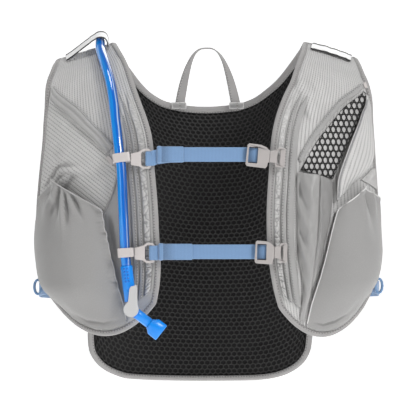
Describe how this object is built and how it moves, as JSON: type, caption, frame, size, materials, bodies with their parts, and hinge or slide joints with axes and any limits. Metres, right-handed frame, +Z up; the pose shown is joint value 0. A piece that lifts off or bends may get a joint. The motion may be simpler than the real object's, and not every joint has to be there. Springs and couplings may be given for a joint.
{
  "type": "running hydration vest",
  "caption": "Light grey running hydration vest with black spacer mesh back, stretch front pouches, blue chest straps and a blue drinking tube with bite valve.",
  "frame": {"origin": "between the two shoulder rests, at the height of the shoulders under the vest", "axes": "+Z up, the vest's front faces -Y, the hose side is -X"},
  "size_m": [0.3843, 0.2747, 0.3952],
  "materials": {
    "ribbed_cloth": "matte",
    "stretch_cloth": "matte",
    "nylon": "satin",
    "trim_tape": "matte",
    "spacer_mesh": "matte",
    "net": "matte",
    "white_band": "satin",
    "blue_webbing": "matte",
    "hose_plastic": "gloss",
    "valve_rubber": "satin",
    "lever_plastic": "matte",
    "buckle_plastic": "satin"
  },
  "bodies": {
    "vest": {"left_front_panel": "ribbed_cloth", "left_panel_binding": "trim_tape", "left_gathered_band": "nylon", "left_inner_rib": "trim_tape", "left_outer_rib": "trim_tape", "right_front_panel": "ribbed_cloth", "right_panel_binding": "trim_tape", "right_gathered_band": "nylon", "right_inner_rib": "trim_tape", "right_outer_rib": "trim_tape", "left_stretch_pouch": "stretch_cloth", "right_stretch_pouch": "stretch_cloth", "flask_pocket": "nylon", "net_lining": "net", "flap_edge": "trim_tape", "pocket_cover": "ribbed_cloth", "corner_tab": "nylon", "zip_flap": "ribbed_cloth", "left_zip_pull": "buckle_plastic", "left_zip_cord": "white_band", "right_zip_pull": "buckle_plastic", "back_mesh": "spacer_mesh", "back_shell": "ribbed_cloth", "back_neck_binding": "trim_tape", "back_hem_binding": "trim_tape", "reservoir_sleeve": "ribbed_cloth", "haul_loop": "trim_tape", "left_loop_tack": "trim_tape", "right_loop_tack": "trim_tape", "drinking_hose": "hose_plastic", "valve_sleeve": "valve_rubber", "valve_body": "valve_rubber", "valve_spout": "valve_rubber", "mouthpiece": "valve_rubber", "upper_clip_ring": "buckle_plastic", "upper_hose_clip": "buckle_plastic", "upper_webbing": "blue_webbing", "upper_webbing_fold": "blue_webbing", "upper_buckle_socket": "buckle_plastic", "upper_buckle_plug": "buckle_plastic", "lower_clip_ring": "buckle_plastic", "lower_hose_clip": "buckle_plastic", "lower_webbing": "blue_webbing", "lower_webbing_fold": "blue_webbing", "lower_buckle_socket": "buckle_plastic", "lower_buckle_plug": "buckle_plastic", "left_shoulder_band": "white_band", "right_shoulder_band": "white_band", "left_side_strap": "blue_webbing", "left_side_loop": "blue_webbing", "right_side_strap": "blue_webbing", "right_side_loop": "blue_webbing"},
    "lever": {"valve_lever": "lever_plastic"}
  },
  "joints": [
    {"name": "valve_lever_hinge", "type": "hinge", "parent": "vest", "child": "lever", "pos_m": [-0.08366, -0.13103, -0.27959], "axis": [0, 1, 0], "range_deg": [0, 90]}
  ]
}
